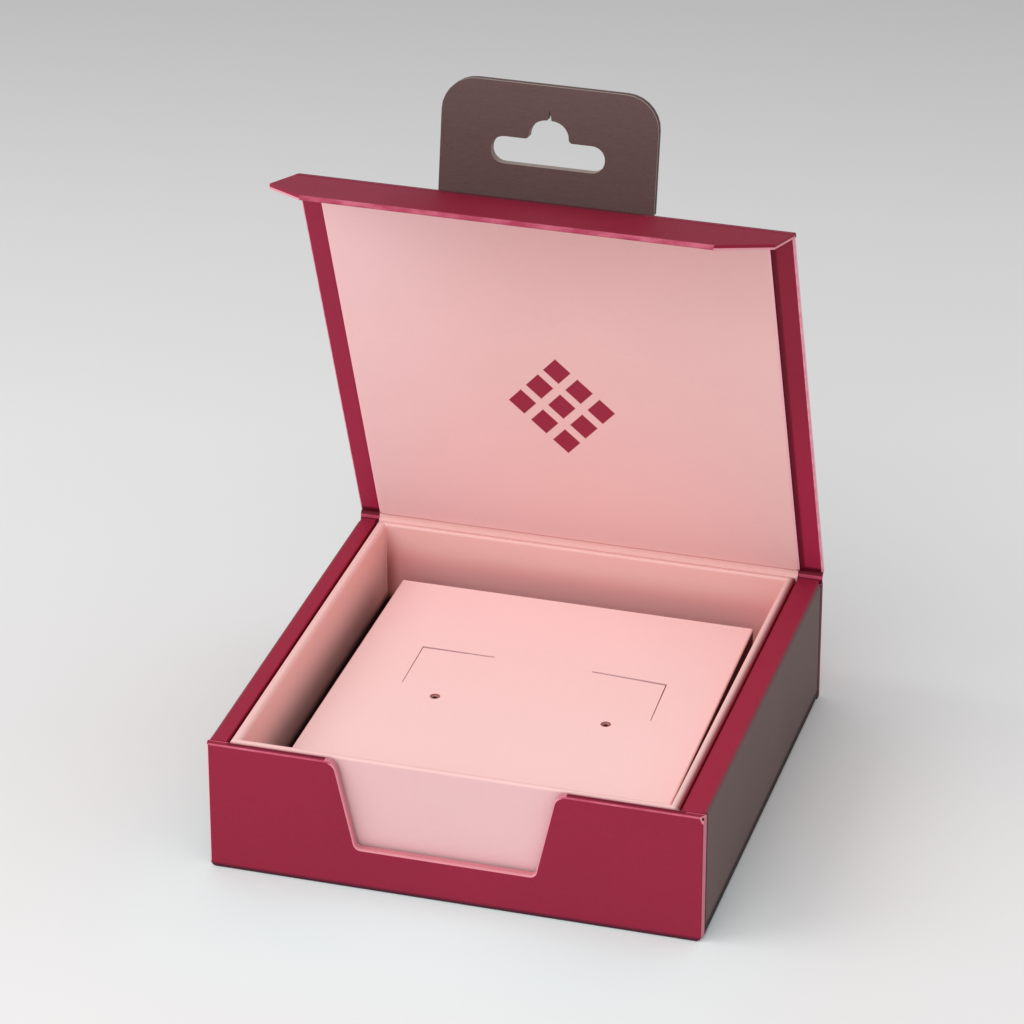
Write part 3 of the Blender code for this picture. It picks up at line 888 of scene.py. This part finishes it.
# Lid: a wrapped board, the raised pink liner inside and the brown sheet outside. Each of the liner's waves
# is a noise's scale, its share and its shift.
lidFacts = {
    "half": 44.5, "hinge": -0.4, "fold": -88.0, "thick": 1.2, "edge": 0.3, "edgeSteps": 2,
    "linerLeft": -40.6, "linerRight": 40.2, "linerHinge": -0.4, "linerFold": -86.3, "linerFace": -0.6,
    "linerPly": 0.16, "linerRim": 0.42, "linerDrop": 0.26, "linerGrid": (34, 36), "linerSmooth": 25,
    "linerWave": 0.07, "waves": [(0.045, 0.7, (0, 0, 0)), (0.11, 0.3, (9, 4, 0))], "waveReach": 8,
    "coverHalf": 44.2, "coverHinge": -0.8, "coverLow": 1.4, "coverHigh": 1.7,
    "coverEdge": 0.12, "coverSteps": 3,
}


def makeLidBoard(facts):
    finishes = [burgundyLid, raw, wornLid]
    bm = bmesh.new()
    block(bm, (-facts["half"], facts["fold"], 0), (facts["half"], facts["hinge"], facts["thick"]))
    bm.normal_update()
    for face in bm.faces:
        face.material_index = finishes.index(raw if abs(face.normal.x) > facingShare else burgundyLid)
    sides = [e for e in bm.edges if all(near(v.co.x, e.verts[0].co.x) and near(abs(v.co.x), facts["half"])
                                        for v in e.verts)]
    roundEdges(bm, sides, facts["edge"], facts["edgeSteps"], finishes.index(wornLid))
    board = newPiece(bm, "lidBoard", finishes, lidPlace)
    settleOn(board, "lid", "burgundy_board", "lid_board")


def makeLiner(facts):
    finishes = [linerPaper, linerEdge]
    left, right, hinge, fold = [facts["liner" + side] for side in ("Left", "Right", "Hinge", "Fold")]
    half, length, rim = (right - left) / 2, hinge - fold, facts["linerRim"]
    middle = (hinge + fold) / 2
    wide, long = facts["linerGrid"]
    bm = bmesh.new()
    bmesh.ops.create_grid(bm, x_segments=wide, y_segments=long, size=0.5)
    bmesh.ops.scale(bm, vec=(2 * (half - rim), length - 2 * rim, 1), verts=bm.verts[:])
    bmesh.ops.translate(bm, vec=(0, middle, facts["linerFace"]), verts=bm.verts[:])
    for vert in bm.verts:  # the sheet lies a little uneven on its glue
        inward = min(half - rim - abs(vert.co.x), vert.co.y - fold - rim, hinge - rim - vert.co.y)
        lift = sum(noise.noise(vert.co * scale + Vector(shift)) * share
                   for scale, share, shift in facts["waves"])
        vert.co.z += facts["linerWave"] * lift * min(1.0, max(0.0, inward) / facts["waveReach"])
    ring = bmesh.ops.extrude_edge_only(bm, edges=[e for e in bm.edges if e.is_boundary])
    outward = movedVerts(ring)
    growth = (half / (half - rim), length / (length - 2 * rim), 1)
    bmesh.ops.scale(bm, vec=growth, space=Matrix.Translation((0, -middle, 0)), verts=outward)
    bmesh.ops.translate(bm, vec=(0, 0, facts["linerDrop"]), verts=outward)
    for face in bm.faces:
        if any(vert in outward for vert in face.verts):
            face.material_index = finishes.index(linerEdge)
    bmesh.ops.translate(bm, vec=((right + left) / 2, 0, 0), verts=bm.verts[:])
    bmesh.ops.reverse_faces(bm, faces=bm.faces[:])
    liner = newPiece(bm, "liner", finishes, lidPlace, ply=facts["linerPly"], smoothTo=facts["linerSmooth"])
    settleOn(liner, "lid", "pink_paper", "lid_liner")


def makeCover(facts):
    half, hinge, fold = facts["coverHalf"], facts["coverHinge"], facts["fold"]
    outline = [(-half, hinge, 0), (-half, fold, 0), (half, fold, 0), (half, hinge, 0)]
    bm = plate(outline, facts["coverLow"], facts["coverHigh"])
    cover = newPiece(bm, "coverSheet", [brownCover], lidPlace, edge=facts["coverEdge"],
                     edgeSteps=facts["coverSteps"])
    settleOn(cover, "lid", "brown_board", "lid_cover_sheet")


makeLidBoard(lidFacts)
makeLiner(lidFacts)
makeCover(lidFacts)


# A board of glued plies shows their paper along its cut edges. Each ply is its lowest height and its finish.
def pliedBoard(bm, plies):
    for height, index in plies[1:]:
        bmesh.ops.bisect_plane(bm, geom=everything(bm), plane_co=(0, 0, height), plane_no=(0, 0, 1))
    bm.normal_update()
    for face in bm.faces:
        face.material_index = 0
        if abs(face.normal.z) <= facingShare:
            middle = face.calc_center_median().z
            face.material_index = [index for height, index in plies if middle > height][-1]


# Flap: two plies folded at the free edge, cut raw along the sides and chamfers
flapFacts = {
    "half": 44.5, "fold": -0.3, "straight": -15.2, "freeHalf": 36.1, "free": -24.4, "thick": 0.9,
    "plies": [(-1, 1), (0.36, 0)], "edgeFold": 0.256, "edgeSteps": 3, "edgeLength": 5, "skin": 0.1,
    "freeShare": 0.99,
}
flapStripFacts = {
    "ends": (-44.4, 44.4), "ply": 0.2, "folds": {1: (0.4, 4), 2: (0.4, 4)}, "facing": (0, 0, 1),
    "lid": [(-86.9, 1.8), (-88.05, 1.72)], "free": [(-0.35, 0.96), (-1.3, 1.0)],
}


def makeFlap(facts):
    half, fold, straight, thick = facts["half"], facts["fold"], facts["straight"], facts["thick"]
    finishes = [burgundyFlap, rawFlap, foldedEdge]
    outline = [
        (-half, fold, 0), (-half, straight, 0), (-facts["freeHalf"], facts["free"], 0),
        (facts["freeHalf"], facts["free"], 0), (half, straight, 0), (half, fold, 0),
    ]
    bm = plate(outline, 0, thick)
    pliedBoard(bm, facts["plies"])
    for face in bm.faces:
        if face.normal.y < -facts["freeShare"]:
            face.material_index = finishes.index(foldedEdge)
    free = [e for e in bm.edges if all(near(v.co.y, facts["free"]) for v in e.verts)
            and abs(e.verts[0].co.x - e.verts[1].co.x) > facts["edgeLength"]
            and not facts["skin"] < e.verts[0].co.z < thick - facts["skin"]]
    roundEdges(bm, free, facts["edgeFold"], facts["edgeSteps"], finishes.index(foldedEdge))
    flap = newPiece(bm, "flapBoard", finishes, flapPlace)
    settleOn(flap, "flap", "burgundy_board", "front_flap")


makeFlap(flapFacts)
makeFreeStrip("flapCrease", flapFold, flapStripFacts, flapPlace, "flap")


# Hang tab: two plies with the hanging hole through both, and a paper core between
tabFacts = {
    "half": 19.3, "height": 20.2, "foot": 0.45, "corner": 6.0, "through": 3, "slotHalf": 10.2,
    "slotBottom": 5.8, "slotTop": 10.6, "slotEnd": 2.35, "dome": 3.6, "domeTop": 14.2, "domeCorner": 3.18,
    "fillet": 0.7, "nickHalf": 0.4, "nickTop": 15.9, "nickTip": 0.06,
    "layers": [
        {"name": "tabFrontPly", "low": -0.95, "high": -0.1, "trim": 0.0, "edge": 0.08,
         "plies": [(-1, 0), (-0.75, 1), (-0.3, 0)], "nodes": ["tab_front_ply"]},
        {"name": "tabBackPly", "low": 0.1, "high": 0.95, "trim": 0.0, "edge": 0.1,
         "plies": [(0, 0)], "nodes": ["tab_back_ply"]},
        {"name": "tabCore", "low": -0.08, "high": 0.08, "trim": 0.12, "edge": 0.0,
         "plies": [(-1, 1)], "nodes": []},
    ],
}
tabStripFacts = {
    "ends": (-19.2, 19.2), "ply": 0.18, "plySide": 1.0, "facing": (0, 1, 0),
    "folds": {1: (0.3, 4), 2: (0.3, 4)}, "lid": [(-84.6, 1.86), (-86.9, 1.86)],
    "free": [(-0.5, 1.05), (-2.6, 1.08)],
}


def holeCutter(facts):
    half, end, dome, nick = facts["slotHalf"], facts["slotEnd"], facts["dome"], facts["nickHalf"]
    bottom, top, high = -facts["slotBottom"], -facts["slotTop"], -facts["domeTop"]
    outline = [
        (-half, bottom, end), (half, bottom, end), (half, top, end), (dome, top, facts["fillet"]),
        (dome, high, facts["domeCorner"]), (nick, high, 0), (facts["nickTip"], -facts["nickTop"], 0),
        (-facts["nickTip"], -facts["nickTop"], 0), (-nick, high, 0), (-dome, high, facts["domeCorner"]),
        (-dome, top, facts["fillet"]), (-half, top, end),
    ]
    return cutterFrom(plate(outline, -facts["through"], facts["through"]), tabPlace, 1)


def makeTab(facts):
    for layer in facts["layers"]:
        half, height = facts["half"] - layer["trim"], facts["height"] - layer["trim"]
        outline = [
            (-half, facts["foot"], 0), (-half, -height, facts["corner"]), (half, -height, facts["corner"]),
            (half, facts["foot"], 0),
        ]
        bm = plate(outline, layer["low"], layer["high"])
        pliedBoard(bm, layer["plies"])
        ply = newPiece(bm, layer["name"], [brownTab, rawBrown], tabPlace, cutters=[holeCutter(facts)],
                       edge=layer["edge"])
        settleOn(ply, "tab", "brown_board", *layer["nodes"])


makeTab(tabFacts)
makeFreeStrip("tabCrease", brownTab, tabStripFacts, tabPlace, "tab")
print("lid, flap and tab made")


floorNode = frame["nodes"]["base_floor"]  # the floor board stays as it is, in the walls' burgundy paper, which paints it dark as shade near the table
floorNode.data.materials.clear()
floorNode.data.materials.append(burgundyWall)


# Stage, light and camera. Each tone is a share of the way from near to far, and how light the screen shows
# the floor there; the tones paint the floor darker towards the back, as painted shade. The floor is painted
# cooler in front of the wall, against the wall's colour that light bounces onto it.
stageFacts = {
    "half": 2000, "drop": 0.05, "towards": (-0.28046, 0.95987, 0.0), "near": -0.10, "far": 0.40,
    "tones": [(0.0, 240), (0.07, 239), (0.234, 232), (0.478, 231), (0.676, 220), (0.912, 201), (1.0, 194)],
    "blueLift": 0.5, "grain": (60, 3.0), "grainLow": 0.995, "grainTone": 0.01, "rough": 0.9, "gloss": 0.1,
    "plainTone": (1.0, 1.0, 1.0, 1.0), "coolTone": (1.0, 1.13, 1.13, 1.0),
    "coolY": -46, "coolDepths": (0, 55), "coolSides": (20, 75),
    "sky": (1.0, 1.0, 1.0, 1.0), "skyStrength": 0.67, "skySeen": screenColour(186, 186, 187),
    "seenBy": ["Is Camera Ray", "Is Glossy Ray", "Is Transmission Ray"],
    "lamps": [("key", (-0.85, -0.4, 0.85), 0.8, 4.5), ("fill", (-0.1, -0.9, 0.8), 0.95, 3.4)],
    "lampColour": (1.0, 0.99, 0.975),
    "cameraPlace": (0.2102, -0.7267, 0.4533), "cameraTilt": 27.817, "cameraTurn": 16.288,
    "lens": 171.55, "sensor": 36,
}


def floorFinish(facts):
    finish = Finish(bpy.data.materials.new("paleFloor"))
    spot = finish.add("TexCoord", {}, {}, 3)
    depth = finish.add("VectorMath", {"operation": "DOT_PRODUCT"}, {0: spot, 1: facts["towards"]}, 1)
    depth = finish.add("MapRange", {}, {"Value": depth, "From Min": facts["near"], "From Max": facts["far"]})
    lift = facts["blueLift"]
    stops = [(position, screenColour(tone, tone, tone + lift)) for position, tone in facts["tones"]]
    colour = finish.add("ValToRGB", {"stops": stops}, {0: depth})
    grain = facts["grainLow"] + finish.grain(spot, *facts["grain"]) * facts["grainTone"]
    colour = finish.mix(1.0, colour, grain, "MULTIPLY")
    x, y, z = finish.sides(spot)
    # painted light: the floor cooled in front of the wall, against the wall's bounced colour
    cool = (1 - abs(y - facts["coolY"]).rise(*facts["coolDepths"])) * (1 - abs(x).rise(*facts["coolSides"]))
    cool = finish.mix(cool, facts["plainTone"], facts["coolTone"])
    colour = finish.mix(1.0, colour, cool, "MULTIPLY")
    surface = finish.add("BsdfPrincipled", {}, {
        "Base Color": colour, "Roughness": facts["rough"], "Specular IOR Level": facts["gloss"]})
    finish.add("OutputMaterial", {}, {"Surface": surface})
    return finish.owner


def makeStage(facts):
    bm = bmesh.new()
    bmesh.ops.create_grid(bm, x_segments=2, y_segments=2, size=facts["half"])
    bmesh.ops.translate(bm, vec=(0, 0, -facts["drop"]), verts=bm.verts[:])
    floor = pieceFrom(bm, "stageFloor", basePlace)
    floor.data.materials.append(floorFinish(facts))


def makeLight(facts):
    world = bpy.data.worlds.new("studio")
    studio = Finish(world)
    lit = studio.add("Background", {}, {"Color": facts["sky"], "Strength": facts["skyStrength"]})
    seen = studio.add("Background", {}, {"Color": facts["skySeen"]})
    camera, glossy, through = [studio.add("LightPath", {}, {}, ray) for ray in facts["seenBy"]]
    straight = camera.larger(glossy).larger(through)
    studio.add("OutputWorld", {}, {"Surface": studio.add("MixShader", {}, {0: straight, 1: lit, 2: seen})})
    bpy.context.scene.world = world
    for name, place, size, power in facts["lamps"]:
        lamp = bpy.data.lights.new(name, "AREA")
        lamp.shape = "DISK"
        lamp.size = size
        lamp.energy = power
        lamp.color = facts["lampColour"]
        light = linked(name, lamp)
        light.location = place
        light.rotation_euler = (-Vector(place)).to_track_quat("-Z", "Y").to_euler()


def makeCamera(facts):
    lens = bpy.data.cameras.new("camera")
    lens.lens = facts["lens"]
    lens.sensor_width = facts["sensor"]
    camera = linked("camera", lens)
    camera.location = facts["cameraPlace"]
    camera.rotation_euler = (math.radians(90 - facts["cameraTilt"]), 0, math.radians(facts["cameraTurn"]))
    bpy.context.scene.camera = camera


makeStage(stageFacts)
makeLight(stageFacts)
makeCamera(stageFacts)
bpy.context.scene.view_settings.view_transform = "Standard"
print("stage, light and camera ready")

bpy.context.view_layer.update()
